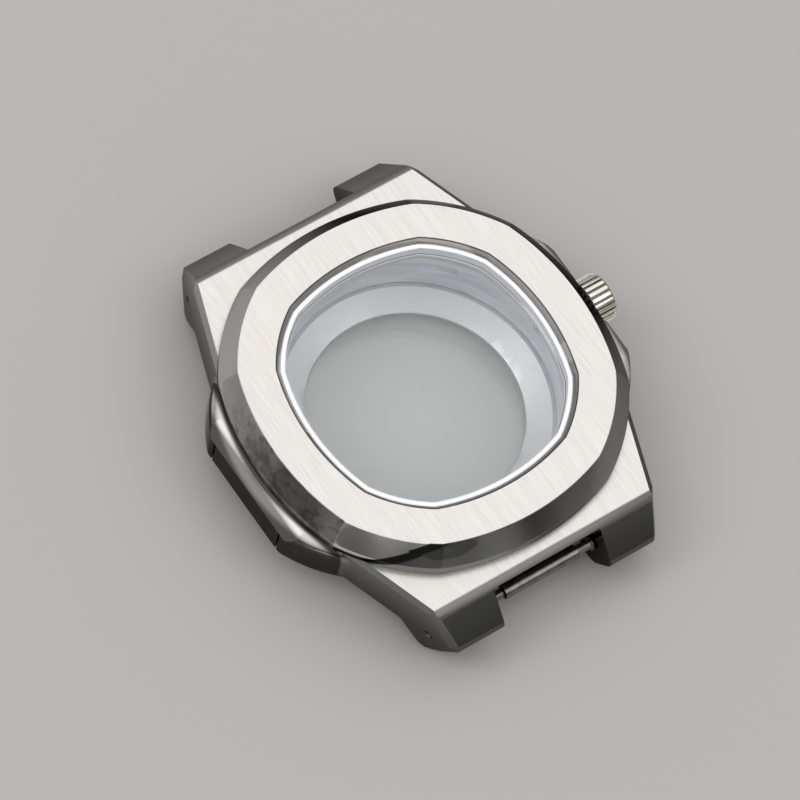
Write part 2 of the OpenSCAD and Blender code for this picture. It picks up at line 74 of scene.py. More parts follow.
# Milder edges are shaded as a curve up to these angles, in degrees, and stay crisp above them: on rolled and
# fluted pieces, on round ones, and on the octagons, whose sides meet their corners at small angles
CRISP_ROLLED = 20.0
CRISP_ROUND = 12.0
CRISP_OCTAGON = 4.2
# Sides of a round seal's section, and steps of its turn
SEAL_SIDES = 20
SEAL_STEPS = 160

# The kinds of node that the finishes are made of
MATH = "ShaderNodeMath"
VECTOR = "ShaderNodeVectorMath"
RANGE = "ShaderNodeMapRange"
MIX = "ShaderNodeMix"
AXES = "ShaderNodeSeparateXYZ"
MAPPING = "ShaderNodeMapping"
NOISE = "ShaderNodeTexNoise"
BUMP = "ShaderNodeBump"
SURFACE = "ShaderNodeBsdfPrincipled"
EASED = {"interpolation_type": "SMOOTHSTEP"}
WHITE = (1.0, 1.0, 1.0, 1.0)

# Where painted reflections of lamps lie on the polish: a direction in the dial's plane, in degrees from 3
# o'clock anticlockwise, and how far out along it the painted light begins and is full, in millimetres
LEFT_LIGHT = (143, 7.0, 18.0)
LEFT_PAINTED_BLOTCHES = (200, 12.0, 17.0)
LOWER_LIGHT = (262, -2.0, 13.0)
RIGHT_LIGHT = (318, 14.0, 19.0)
LUG_LIGHT = (128, -12.0, 20.0)
TIP_LIGHT = (308, 9.0, 21.0)
NEAR_SIDE = (215, -8.0, 12.0)

# Painted tones of the polish run from 0, its painted dark colour, to 1, its painted light one
# The bezel's painted tones: on its left side and at that side's foot, on its lower side under the painted
# sheet of light and past it, and on its right side
LEFT_TONE = 0.7
FOOT_TONE = 0.55
LOWER_TONE = 0.27
DULL_TONE = 0.17
RIGHT_TONE = 0.3
# The values between which the noise of the painted horizon's waves and of the painted smoky blotches lies
WAVE_SPAN = (0.3, 0.7)
PAINTED_BLOTCH_SPAN = (0.44, 0.57)
PAINTED_BLOTCH_FLATNESS = 1.8
# The painted reflection of the horizon: half its blur, and its painted tone just under it
HORIZON_BLUR = 0.09 * MM
UNDER_HORIZON = 0.75
# The painted horizon's waves mottle the bezel's lower side, and the painted smoky blotches its left one
LOWER_WAVES = (0.42, 1.12)
BLOTCHES = (0.36, 0.8)
# The painted sheet of light: the way that it runs, where it starts, and how its border climbs on that way
SHEET_WAY = 296
SHEET_START = (1.1, 1.35)
SHEET_SIDE = (206, 8.0, 10.0)
SHEET_RUN = (3.2 * MM, 13.5 * MM)
SHEET_HEIGHTS = (8.35 * MM, 12.2 * MM)
SHEET_SWAY = 0.12 * MM
SHEET_BLUR = 0.05 * MM
# A painted dark wave just under the painted sheet: where it lies under the sheet's border, and its tones
DARK_WAVE = (-1.05 * MM, -0.75 * MM)
DARK_WAVE_TONES = (1.15, 0.06)

# The case middle: how far out to each side the ears start and the strap's notch ends, and the notch's painted
# shade
EAR_EDGE = (16.85 * MM, 16.97 * MM)
NOTCH_EDGE = (6.2 * MM, 6.4 * MM)
NOTCH_SHADE = 0.12
# The ears' painted bright stripe, after a painted dark band, by its distance from the bezel's foot
STRIPE_START = (0.08 * MM, 0.5 * MM)
STRIPE_TONES = (0.043, 0.9)
STRIPE_END = (0.75 * MM, 1.2 * MM)
# How dark the painted smoky blotches of reflection on the ears' flanks run
EAR_PAINTED_BLOTCHES = (0.02, 0.04)
# The lugs' ends: their painted tones round the case, which grow with height, and the painted light of tip and
# rolled edges
LUG_TONES = (0.135, 0.33)
LUG_HEIGHTS = (3.6 * MM, 7.3 * MM)
LUG_FADING = (0.72, 1.6)
TIP_HEIGHTS = (5.6 * MM, 7.5 * MM)
TIP_TONE = 0.34
ROLLED_TONE = 0.27

# How level a face is, from 0 when upright to 1, where its brushing begins and is full
CASE_FLAT = (0.985, 0.998)
BEZEL_FLAT = (0.97, 0.995)
# The lines of the second brushing are this many times as far apart and as long as those of the first
COARSER, LONGER = 2.4, 2.2
# Both brushings' sum in the deepest scratches and on the smooth ground, and what these add to the roughness
SCRATCH_SPAN = (0.7, 1.15)
SCRATCH_GLOSS = (0.05, -0.04)
# A face looks inward where the product of its normal and its place, in metres, is under this
INWARD_UNDER = 0.0075
# How far under the flat the painted dark line on the chamfer's broken edge starts and is full, and its tone
RIM_EDGE = (0.12 * MM, 0.05 * MM)
RIM_EDGE_TONE = 0.12
SATIN_GLOSS = 0.45
# Tints that dim the glare of the two polishes at low angles
CASE_GLARE = "c4c2c0"
BEZEL_GLARE = "949392"

# Sizes of patches and grain, the finest drawn coarser than it is, so that it shows
TONE_PATCH = 1.1 * MM
TOOL_MARKS = 0.12 * MM
WORN_PATCH = 0.9 * MM
SKIN_GRAIN = 0.08 * MM
SMEAR = 6 * MM
# The plastic flowed round the ring, so its marks are long and low
FLOW_SCALE = (0.5, 0.5, 2.6)
# Roughness in the crown's grooves and on its lands, and of frosted glass
CROWN_GLOSS = (0.5, 0.24)
FROST_GLOSS = 0.85
# The glass is frosted where its normal leans more than this from the vertical
EDGE_LEVEL = 0.9
COATED_IOR = 1.42
MINERAL_IOR = 1.52
PLASTIC_IOR = 1.5

# The studio: heights on the dome, from 0 at the horizon to 1 overhead, and the dim room's noise and glow
DOME_RISE = (0.2, 0.62)
ROOM_TOP = (0.25, 0.45)
ROOM_SPAN = (0.42, 0.62)
ROOM_GLOW = (0.35, 2.4)
# In metres: the paper's patches and half its side, the point that the lamps face, and the lens's range
PAPER_PATCH = 0.4
FLOOR_HALF = 1.6
LAMPS_AIM = (0, 0, 0.005)
LENS_NEAR, LENS_FAR = 0.01, 20.0
# Each softbox: its name, the property with its radiance, its side and its place in metres
SOFTBOXES = (
    ("softbox_top", "key_glow", 0.9, (0.30, 0.255, 0.73)),
    ("softbox_side", "side_glow", 0.34, (-0.46, 0.27, 0.56)),
    ("softbox_front", "front_glow", 0.34, (0.33, -0.42, 0.58)),
)


def linear(code):
    """Turns an sRGB hex colour into Blender's linear colour."""
    parts = [int(code[start : start + 2], 16) / 255 for start in (0, 2, 4)]
    return tuple(p / 12.92 if p <= 0.04045 else ((p + 0.055) / 1.055) ** 2.4 for p in parts) + (1.0,)


def colour_prop(name, description, code):
    """A property that holds a colour, given as sRGB hex."""
    shade = linear(code)[:3]
    return bpy.props.FloatVectorProperty(
        name=name, description=description, default=shade, subtype="COLOR", size=3, min=0, max=1
    )


def length_prop(name, description, default_mm):
    """A property that holds a length, given in millimetres."""
    return bpy.props.FloatProperty(
        name=name, description=description, default=default_mm * MM, min=0, unit="LENGTH", precision=6
    )


def angle_prop(name, description, default_deg):
    """A property that holds an angle."""
    return bpy.props.FloatProperty(
        name=name, description=description, default=math.radians(default_deg), subtype="ANGLE"
    )


def share_prop(name, description, default, top=1.0):
    """A property that holds a plain number from nothing to its top."""
    return bpy.props.FloatProperty(name=name, description=description, default=default, min=0, max=top)


class SteelLook(bpy.types.PropertyGroup):
    """Colours and grain of the steel."""

    brushed: colour_prop("Brushed steel", "Colour of the brushed flats", "f2eeea")
    brushed_dark: colour_prop("Brush scratches", "Colour of the deeper brush scratches", "e3ddd8")
    # The polished flanks' colours: the painted light and painted dark ends of their painted reflections
    polished: colour_prop("Polished steel", "Colour of the polished flanks where light", "f2f0ed")
    polished_painted_dark: colour_prop("Polished steel, dark", "Colour of the polished flanks where dark", "3a3a39")
    # The chamfer's colour is painted light: lighter than the flanks, as it looks up into the lamps
    chamfer: colour_prop("Chamfer", "Colour of the polished chamfer round the crystal", "d8d6d5")
    satin: colour_prop("Satin steel", "Colour of the satin surfaces under the crystal", "f2f1f4")
    satin_below: length_prop("Satin below", "Height under which the inside is satin", 9.85)
    grain_width: length_prop("Grain width", "Distance between brush lines", 0.06)
    grain_length: length_prop("Grain length", "Length of a brush line", 4.2)
    rim_top: length_prop("Rim", "Height of the brushed flat round the crystal", 10.8)
    lip_above: length_prop("Notch's lip", "Height of the lip over the strap's notch", 7.3)
    inside_radius: length_prop("Inside", "Radius up to which an inward face belongs to the inside", 17.2)
    seat_above: length_prop("Crystal's seat", "Height over which the inside is coated white", 8.6)
    # Where the painted dark band and bright stripe on the ears lie: the curve round the bezel's long sides
    ear_centre: length_prop("Ear's curve", "Distance past the axis of the long sides' curve's centre", 8.32)
    foot_radius: length_prop("Foot radius", "Radius of the bezel's foot along its long sides", 27.5)
    # Where the painted reflection of the horizon lies on the bezel's slope, and the length, height and sway
    # of its waves
    horizon: length_prop("Horizon", "Height of the mirrored horizon on the bezel's slope", 9.9)
    streak_length: length_prop("Streak length", "Length of the horizon's waves, along the edges", 7.0)
    streak_width: length_prop("Streak width", "Height of the horizon's waves", 2.0)
    streak_sway: length_prop("Streak sway", "How far the horizon's waves swing", 1.5)
    # Size of the painted smoky blotches of reflection in the polish
    painted_blotches: length_prop("Smoke", "Size of the smoky patches in the polish", 2.2)
    edge_round: length_prop("Edge rounding", "Width of the broken edges", 0.07)
    brushed_gloss: share_prop("Brushed roughness", "Roughness of the brushed flats", 0.36)
    polished_gloss: share_prop("Polished roughness", "Roughness of the polished flanks", 0.1)
    rolled_gloss: share_prop("Rolled roughness", "Roughness of the rolled edges of lugs and ears", 0.5)


class ClearLook(bpy.types.PropertyGroup):
    """Colours of the glass, the plastic and the seals."""

    glass: colour_prop("Glass", "Tint of the two glasses", "fdfefe")
    ground_edge: colour_prop("Ground edge", "Colour of the glasses' frosted edges", "f3f4f8")
    nylon: colour_prop("Nylon", "Colour of the crystal's gasket", "ffffff")
    plastic: colour_prop("Movement ring", "Colour of the milky movement ring", "eeedf3")
    rubber: colour_prop("Rubber", "Colour of the seals", "1d1d1e")


class CrownSizes(bpy.types.PropertyGroup):
    """Sizes and colours of the crown."""

    radius: length_prop("Radius", "Radius over the crown's lands", 2.5)
    axis_height: length_prop("Axis height", "Height of the crown's axis", 5.8)
    groove_depth: length_prop("Groove depth", "Depth of a groove", 0.28)
    land: colour_prop("Land", "Colour of the crown's lands", "fffaf2")
    worn: colour_prop("Worn land", "Colour of the duller places on the lands", "e3dcd3")
    # Painted shade in the crown's grooves
    groove_painted_shade: colour_prop("Groove", "Colour in the grooves", "8a837d")


class StudioSetup(bpy.types.PropertyGroup):
    """Camera, floor and lamps."""

    floor: colour_prop("Floor", "Colour of the plain pale floor", "c4c3c1")
    azimuth: angle_prop("Direction", "Direction looked along, from +X", 40.324)
    elevation: angle_prop("Height", "Camera's angle above the floor", 61.5455)
    roll: angle_prop("Roll", "Camera's turn about its own axis", 17.185)
    aim: bpy.props.FloatVectorProperty(
        name="Aim",
        description="Point at the middle of the picture",
        default=(-4.055 * MM, -1.162 * MM, 10.8 * MM),
        subtype="XYZ",
    )
    distance: length_prop("Distance", "Distance from the camera to the aim point", 653.714)
    lens: bpy.props.FloatProperty(
        name="Lens", description="Focal length in millimetres", default=308.366, min=1
    )
    key_glow: share_prop("Key light", "Radiance of the large softbox", 0.22, 20.0)
    side_glow: share_prop("Side light", "Radiance of the side softbox", 2.0, 20.0)
    front_glow: share_prop("Front light", "Radiance of the front softbox", 1.1, 20.0)
    dome_top: share_prop("Dome", "Brightness of the studio's ceiling", 0.82, 5.0)
    dome_low: share_prop("Dark band", "Brightness of the studio near the floor", 0.14, 5.0)


def add(tree, kind, inputs=(), **settings):
    """Adds a node with its settings, and sets or links its inputs, given by name or in their order.

    A node among the inputs stands for its first output in use.
    """
    made = tree.nodes.new(kind)
    for name, value in settings.items():
        setattr(made, name, value)
    if isinstance(inputs, dict):
        sockets = [made.inputs[name] for name in inputs]
        values = inputs.values()
    else:
        sockets = [socket for socket in made.inputs if socket.enabled]
        values = inputs
    for socket, value in zip(sockets, values):
        if isinstance(value, bpy.types.Node):
            value = next(output for output in value.outputs if output.enabled)
        if isinstance(value, bpy.types.NodeSocket):
            tree.links.new(value, socket)
        else:
            socket.default_value = value
    return made


def new_material(name):
    """An empty node material with its output."""
    material = bpy.data.materials.new(name)
    material.use_nodes = True
    material.node_tree.nodes.clear()
    return material, material.node_tree, add(material.node_tree, "ShaderNodeOutputMaterial")


def with_alpha(colour):
    """A property's colour with the alpha that a socket takes."""
    return (*colour, 1.0)


def brush_lines(tree, place, width, length):
    """Fine parallel lines along Y, as 0 to 1, a little coarser than real brushing so that they show."""
    scale = (1 / width, 1 / length, 1 / width)
    lines = add(tree, MAPPING, {"Vector": place, "Scale": scale}, vector_type="POINT")
    return add(tree, NOISE, {"Vector": lines, "Scale": 1.0, "Detail": 3.0, "Roughness": 0.7})


def along(tree, place, degrees):
    """How far a point lies out in a direction of the dial's plane, in metres."""
    way = (math.cos(math.radians(degrees)), math.sin(math.radians(degrees)), 0.0)
    return add(tree, VECTOR, (place, way), operation="DOT_PRODUCT")


def towards(tree, place, degrees, low_mm, high_mm):
    """How far a point lies out in a direction, as a share: 0 up to the first distance, 1 past the second."""
    return add(tree, RANGE, (along(tree, place, degrees), low_mm * MM, high_mm * MM), **EASED)


def painted_horizon(tree, place, look):
    """A painted reflection of the horizon: a wavy border round the case, dark over it and light under it, as
    0 to 1.
    """
    axes = add(tree, AXES, (place,))
    scale = (1 / look.streak_length, 1 / look.streak_length, 1 / look.streak_width)
    drawn = add(tree, MAPPING, {"Vector": place, "Scale": scale}, vector_type="POINT")
    inputs = {"Vector": drawn, "Scale": 1.0, "Detail": 1.0, "Roughness": 0.4, "Distortion": 0.2}
    wave = add(tree, NOISE, inputs)
    sway = add(tree, RANGE, (wave, *WAVE_SPAN, -look.streak_sway, look.streak_sway))
    height = add(tree, MATH, (axes.outputs["Z"], sway), operation="ADD")
    low, high = look.horizon - HORIZON_BLUR, look.horizon + HORIZON_BLUR
    border = add(tree, RANGE, (height, low, high, UNDER_HORIZON, 0.0), **EASED)
    swell = add(tree, RANGE, (wave, *WAVE_SPAN, 0.0, 1 - UNDER_HORIZON))
    return add(tree, MATH, (border, swell), operation="ADD")


def painted_blotches(tree, place, look):
    """Painted smoky blotches of reflection that mottle the polish, as 0 to 1."""
    scale = (1 / look.painted_blotches, 1 / look.painted_blotches, PAINTED_BLOTCH_FLATNESS / look.painted_blotches)
    drawn = add(tree, MAPPING, {"Vector": place, "Scale": scale}, vector_type="POINT")
    inputs = {"Vector": drawn, "Scale": 1.0, "Detail": 8.0, "Roughness": 0.72, "Distortion": 0.3}
    return add(tree, RANGE, (add(tree, NOISE, inputs), *PAINTED_BLOTCH_SPAN, 0.0, 1.0))


def bezel_polish(tree, place, level, look):
    """Painted tone of the bezel's slopes, and how much of its level faces is brushed.

    Painted light towards 10 o'clock, painted smoky blotches to 9, a painted sheet of light over a wavy border
    at 7, and dull further on.
    """
    left = add(tree, MATH, (towards(tree, place, *LEFT_LIGHT), LEFT_TONE), operation="MULTIPLY")
    lower = add(tree, MATH, (towards(tree, place, *LOWER_LIGHT), LOWER_TONE), operation="MULTIPLY")
    waves = add(tree, RANGE, (painted_horizon(tree, place, look), 0.0, 1.0, *LOWER_WAVES))
    lower = add(tree, MATH, (lower, waves), operation="MULTIPLY")
    blotches = add(tree, RANGE, (painted_blotches(tree, place, look), 0.0, 1.0, *BLOTCHES))
    painted_blotch_side = towards(tree, place, *LEFT_PAINTED_BLOTCHES)
    dimming = add(tree, MIX, (painted_blotch_side, 1.0, blotches), data_type="FLOAT")
    left = add(tree, MATH, (left, dimming), operation="MULTIPLY")
    foot = add(tree, MATH, (painted_blotch_side, blotches), operation="MULTIPLY")
    foot = add(tree, MATH, (foot, FOOT_TONE), operation="MULTIPLY")
    left = add(tree, MATH, (left, foot), operation="MAXIMUM")
    # The painted sheet of light starts at the corner of the left side and the lower one, and its border
    # climbs to the flat
    axes = add(tree, AXES, (place,))
    climb = (along(tree, place, SHEET_WAY), *SHEET_RUN, *SHEET_HEIGHTS)
    border = add(tree, RANGE, climb, **EASED)
    sway = add(tree, RANGE, (painted_horizon(tree, place, look), 0.0, 1.0, -SHEET_SWAY, SHEET_SWAY))
    over = add(tree, MATH, (axes.outputs["Z"], sway), operation="ADD")
    over = add(tree, MATH, (over, border), operation="SUBTRACT")
    sheet = add(tree, RANGE, (over, -SHEET_BLUR, SHEET_BLUR, 0.0, 1.0), **EASED)
    # A painted dark wave lies just under the painted sheet
    wave = add(tree, RANGE, (over, *DARK_WAVE, *DARK_WAVE_TONES), **EASED)
    lower = add(tree, MATH, (lower, wave), operation="MULTIPLY")
    lower = add(tree, MATH, (lower, sheet), operation="MAXIMUM")
    past_corner = towards(tree, place, SHEET_WAY, *SHEET_START)
    on_sheet = add(tree, MATH, (past_corner, towards(tree, place, *SHEET_SIDE)), operation="MULTIPLY")
    right = add(tree, MATH, (towards(tree, place, *RIGHT_LIGHT), RIGHT_TONE), operation="MULTIPLY")
    dull = add(tree, MATH, (towards(tree, place, *LOWER_LIGHT), DULL_TONE), operation="MULTIPLY")
    right = add(tree, MATH, (right, dull), operation="MAXIMUM")
    rest = add(tree, MATH, (left, right), operation="MAXIMUM")
    return add(tree, MIX, (on_sheet, rest, lower), data_type="FLOAT"), 1.0


def case_polish(tree, place, level, look):
    """Painted tone of the case middle's polish, and how much of its level faces is brushed.

    The ears get a painted mirror-bright stripe with a painted dark band beside the bezel, and the lugs' ends
    painted grey.
    level is 1 on a level face and 0 on an upright one.
    """
    axes = add(tree, AXES, (place,))
    off_x = add(tree, MATH, (axes.outputs["X"],), operation="ABSOLUTE")
    on_ear = add(tree, RANGE, (off_x, *EAR_EDGE, 0.0, 1.0))
    # Between the lugs the strap's notch gets painted shade, up to its lip
    painted_notch_shade = add(tree, RANGE, (off_x, *NOTCH_EDGE, NOTCH_SHADE, 1.0))
    lip = add(tree, MATH, (axes.outputs["Z"], look.lip_above), operation="GREATER_THAN")
    painted_notch_shade = add(tree, MATH, (painted_notch_shade, lip), operation="MAXIMUM")
    # Distance from the bezel's foot, whose reflection on the ears is painted as a dark band before a painted
    # bright stripe
    shifted = add(tree, MATH, (off_x, look.ear_centre), operation="ADD")
    across = add(tree, "ShaderNodeCombineXYZ", (shifted, axes.outputs["Y"], 0.0))
    reach = add(tree, VECTOR, (across,), operation="LENGTH")
    away = add(tree, MATH, (reach, look.foot_radius), operation="SUBTRACT")
    rise = add(tree, RANGE, (away, *STRIPE_START, *STRIPE_TONES), **EASED)
    fall = add(tree, RANGE, (away, *STRIPE_END, 1.0, 0.3), **EASED)
    stripe = add(tree, MATH, (rise, fall), operation="MULTIPLY")
    # The ears' flanks get painted smoky blotches of reflection
    flank = add(tree, RANGE, (painted_blotches(tree, place, look), 0.0, 1.0, *EAR_PAINTED_BLOTCHES))
    on_top = add(tree, RANGE, (level, 0.4, 0.6, 0.0, 1.0))
    ear = add(tree, MIX, (on_top, flank, stripe), data_type="FLOAT")
    # The lugs' ends get painted shading, lighter towards LUG_LIGHT and higher up
    lug = add(tree, RANGE, (towards(tree, place, *LUG_LIGHT), 0.0, 1.0, *LUG_TONES))
    fading = add(tree, RANGE, (axes.outputs["Z"], *LUG_HEIGHTS, *LUG_FADING))
    lug = add(tree, MATH, (lug, fading), operation="MULTIPLY")
    # Painted shade: the rolled edges are painted darker, as they turn away from the lamp that lights the ends
    turned_up = add(tree, RANGE, (level, 0.3, 0.85, 1.0, 0.5))
    lug = add(tree, MATH, (lug, turned_up), operation="MULTIPLY")
    # The tip at 5 o'clock gets a painted highlight of the front lamp on its upper part
    catch = add(tree, RANGE, (axes.outputs["Z"], *TIP_HEIGHTS, 0.0, TIP_TONE), **EASED)
    steep = add(tree, RANGE, (level, 0.25, 0.7, 1.0, 0.0))
    catch = add(tree, MATH, (catch, steep), operation="MULTIPLY")
    catch = add(tree, MATH, (catch, towards(tree, place, *TIP_LIGHT)), operation="MULTIPLY")
    lug = add(tree, MATH, (lug, catch), operation="ADD")
    # The rolled edges get a painted highlight, fainter away from the near side
    rolled = add(tree, RANGE, (level, 0.66, 0.98, 0.0, ROLLED_TONE), **EASED)
    near = add(tree, RANGE, (towards(tree, place, *NEAR_SIDE), 0.0, 1.0, 0.25, 1.0))
    rolled = add(tree, MATH, (rolled, near), operation="MULTIPLY")
    lug = add(tree, MATH, (lug, rolled), operation="MAXIMUM")
    lug = add(tree, MATH, (lug, painted_notch_shade), operation="MULTIPLY")
    tone = add(tree, MIX, (on_ear, lug, ear), data_type="FLOAT")
    return tone, add(tree, MATH, (1.0, on_ear), operation="SUBTRACT")


def two_finish_steel(name, look, flat_span, polish, glare_tint):
    """Stainless steel, brushed along Y on its level faces and polished elsewhere.

    The brushed flats scatter the softbox into an even pale warm tone. The polished flanks mirror the studio,
    and painted reflections lay dark and uneven patches on their colour.
    """
    material, tree, out = new_material(name)
    spot = add(tree, "ShaderNodeTexCoord")
    place, normal = spot.outputs["Object"], spot.outputs["Normal"]
    facing = add(tree, AXES, (normal,))
    level = add(tree, MATH, (facing.outputs["Z"],), operation="ABSOLUTE")
    tone, brushing = polish(tree, place, level, look)
    flat = add(tree, RANGE, (level, *flat_span, 0.0, 1.0))
    flat = add(tree, MATH, (flat, brushing), operation="MULTIPLY")
    lines = brush_lines(tree, place, look.grain_width, look.grain_length)
    long_lines = brush_lines(tree, place, look.grain_width * COARSER, look.grain_length * LONGER)
    both = add(tree, MATH, (lines, long_lines), operation="ADD")
    depth = add(tree, RANGE, (both, *SCRATCH_SPAN, 0.0, 1.0))
    scratched = (depth, with_alpha(look.brushed_dark), with_alpha(look.brushed))
    brushed = add(tree, MIX, scratched, data_type="RGBA")
    # Painted reflections: the polished colour runs from painted dark to painted light by the painted tone
    mirrored = (tone, with_alpha(look.polished_painted_dark), with_alpha(look.polished))
    polished = add(tree, MIX, mirrored, data_type="RGBA")
    # Inside, below the crystal's seat, the bezel is left satin and takes the white of the ring
    height = add(tree, AXES, (place,))
    outward = add(tree, VECTOR, (normal, place), operation="DOT_PRODUCT")
    inward = add(tree, MATH, (outward, INWARD_UNDER), operation="LESS_THAN")
    level_place = add(tree, VECTOR, (place, (1, 1, 0)), operation="MULTIPLY")
    radius = add(tree, VECTOR, (level_place,), operation="LENGTH")
    within = add(tree, MATH, (radius, look.inside_radius), operation="LESS_THAN")
    inward = add(tree, MATH, (inward, within), operation="MULTIPLY")
    below = add(tree, MATH, (height.outputs["Z"], look.satin_below), operation="LESS_THAN")
    satin = add(tree, MATH, (inward, below), operation="MULTIPLY")
    # The crystal's seat is coated white, like its gasket
    above = add(tree, MATH, (height.outputs["Z"], look.seat_above), operation="GREATER_THAN")
    seat = add(tree, MATH, (satin, above), operation="MULTIPLY")
    # The polished chamfer round the crystal looks up into the lamps, so it gets painted light, lighter than
    # the flanks, mottled by the painted horizon
    rim = add(tree, MATH, (inward, satin), operation="SUBTRACT")
    rim_painted_grey = add(tree, RANGE, (painted_horizon(tree, place, look), 0.0, 1.0, 0.55, 1.0))
    # The broken edge between the chamfer and the brushed flat gets a painted dark line, a reflection of the
    # dark band
    low, high = look.rim_top - RIM_EDGE[0], look.rim_top - RIM_EDGE[1]
    edge = add(tree, RANGE, (height.outputs["Z"], low, high, 1.0, RIM_EDGE_TONE))
    rim_painted_grey = add(tree, MATH, (rim_painted_grey, edge), operation="MULTIPLY")
    ground = (rim_painted_grey, with_alpha(look.polished_painted_dark), with_alpha(look.chamfer))
    chamfer = add(tree, MIX, ground, data_type="RGBA")
    flank = add(tree, MIX, (rim, polished, chamfer), data_type="RGBA")
    flank = add(tree, MIX, (satin, flank, with_alpha(look.satin)), data_type="RGBA")
    colour = add(tree, MIX, (flat, flank, brushed), data_type="RGBA")
    glosses = [look.brushed_gloss + change for change in SCRATCH_GLOSS]
    gloss = add(tree, RANGE, (depth, 0.0, 1.0, *glosses))
    soft = add(tree, RANGE, (level, 0.55, 0.8, look.polished_gloss, look.rolled_gloss))
    flank_gloss = add(tree, MIX, (satin, soft, SATIN_GLOSS), data_type="FLOAT")
    relief = add(tree, MATH, (both, flat), operation="MULTIPLY")
    # A mirror polish seen at a low angle would otherwise show the whole floor; brushing has no such glare
    glare = add(tree, MIX, (flat, linear(glare_tint), WHITE), data_type="RGBA")
    steel = add(
        tree,
        SURFACE,
        {
            "Base Color": colour,
            "Metallic": add(tree, MATH, (1.0, seat), operation="SUBTRACT"),
            "Roughness": add(tree, MIX, (flat, flank_gloss, gloss), data_type="FLOAT"),
            "Specular Tint": glare,
            "Normal": add(tree, BUMP, {"Strength": 0.22, "Distance": 0.012 * MM, "Height": relief}),
        },
    )
    tree.links.new(steel.outputs["BSDF"], out.inputs["Surface"])
    return material


def turned_steel(name, code, dark_code, gloss):
    """Stainless steel turned on a lathe or drawn: one grey with small changes of tone, and a fine grain."""
    material, tree, out = new_material(name)
    place = add(tree, "ShaderNodeTexCoord").outputs["Object"]
    cloud = add(tree, NOISE, {"Vector": place, "Scale": 1 / TONE_PATCH, "Detail": 3.0})
    fine = add(tree, NOISE, {"Vector": place, "Scale": 1 / TOOL_MARKS, "Detail": 2.0})
    tone = add(tree, RANGE, (cloud, 0.3, 0.7))
    steel = add(
        tree,
        SURFACE,
        {
            "Base Color": add(tree, MIX, (tone, linear(dark_code), linear(code)), data_type="RGBA"),
            "Metallic": 1.0,
            "Roughness": add(tree, RANGE, (cloud, 0.0, 1.0, gloss * 0.8, gloss * 1.2)),
            "Normal": add(tree, BUMP, {"Strength": 0.15, "Distance": 0.01 * MM, "Height": fine}),
        },
    )
    tree.links.new(steel.outputs["BSDF"], out.inputs["Surface"])
    return material


def crown_steel(sizes):
    """Satin steel: bright lands, duller where they are handled, and grooves greyer with painted shade."""
    material, tree, out = new_material("satin_crown_steel")
    place = add(tree, "ShaderNodeTexCoord").outputs["Object"]
    centred = add(tree, VECTOR, (place, (0, 0, sizes.axis_height)), operation="SUBTRACT")
    across = add(tree, VECTOR, (centred, (0, 1, 1)), operation="MULTIPLY")
    away = add(tree, VECTOR, (across,), operation="LENGTH")
    low, high = sizes.radius - sizes.groove_depth, sizes.radius - 0.1 * sizes.groove_depth
    land = add(tree, RANGE, (away, low, high))
    cloud = add(tree, NOISE, {"Vector": place, "Scale": 1 / WORN_PATCH, "Detail": 3.0})
    bright = add(tree, MIX, (cloud, with_alpha(sizes.worn), with_alpha(sizes.land)), data_type="RGBA")
    steel = add(
        tree,
        SURFACE,
        {
            # The grooves get painted shade
            "Base Color": add(tree, MIX, (land, with_alpha(sizes.groove_painted_shade), bright), data_type="RGBA"),
            "Metallic": 1.0,
            "Roughness": add(tree, RANGE, (land, 0.0, 1.0, *CROWN_GLOSS)),
        },
    )
    tree.links.new(steel.outputs["BSDF"], out.inputs["Surface"])
    return material


def clear_glass(name, look, ior):
    """Ground glass with polished faces: clear from above, and frosted white round its ground edge.

    Lamps shine through the clear faces onto what is inside.
    """
    material, tree, out = new_material(name)
    spot = add(tree, "ShaderNodeTexCoord")
    smear = add(tree, NOISE, {"Vector": spot.outputs["Object"], "Scale": 1 / SMEAR, "Detail": 2.0})
    gloss = add(tree, RANGE, (smear, 0.0, 1.0, 0.0, 0.02))
    tint = with_alpha(look.glass)
    inputs = {"Base Color": tint, "Roughness": gloss, "IOR": ior, "Transmission Weight": 1.0}
    glass = add(tree, SURFACE, inputs)
    open_way = add(tree, "ShaderNodeBsdfTransparent", {"Color": tint})
    path = add(tree, "ShaderNodeLightPath")
    rays = (path.outputs["Is Shadow Ray"], path.outputs["Is Diffuse Ray"])
    lit = add(tree, MATH, rays, operation="MAXIMUM")
    clear = add(tree, "ShaderNodeMixShader", (lit, glass, open_way))
    frosted = add(tree, SURFACE, {"Base Color": with_alpha(look.ground_edge), "Roughness": FROST_GLOSS})
    facing = add(tree, AXES, (spot.outputs["Normal"],))
    level = add(tree, MATH, (facing.outputs["Z"],), operation="ABSOLUTE")
    edge = add(tree, MATH, (level, EDGE_LEVEL), operation="LESS_THAN")
    both = add(tree, "ShaderNodeMixShader", (edge, clear, frosted))
    tree.links.new(both.outputs["Shader"], out.inputs["Surface"])
    return material


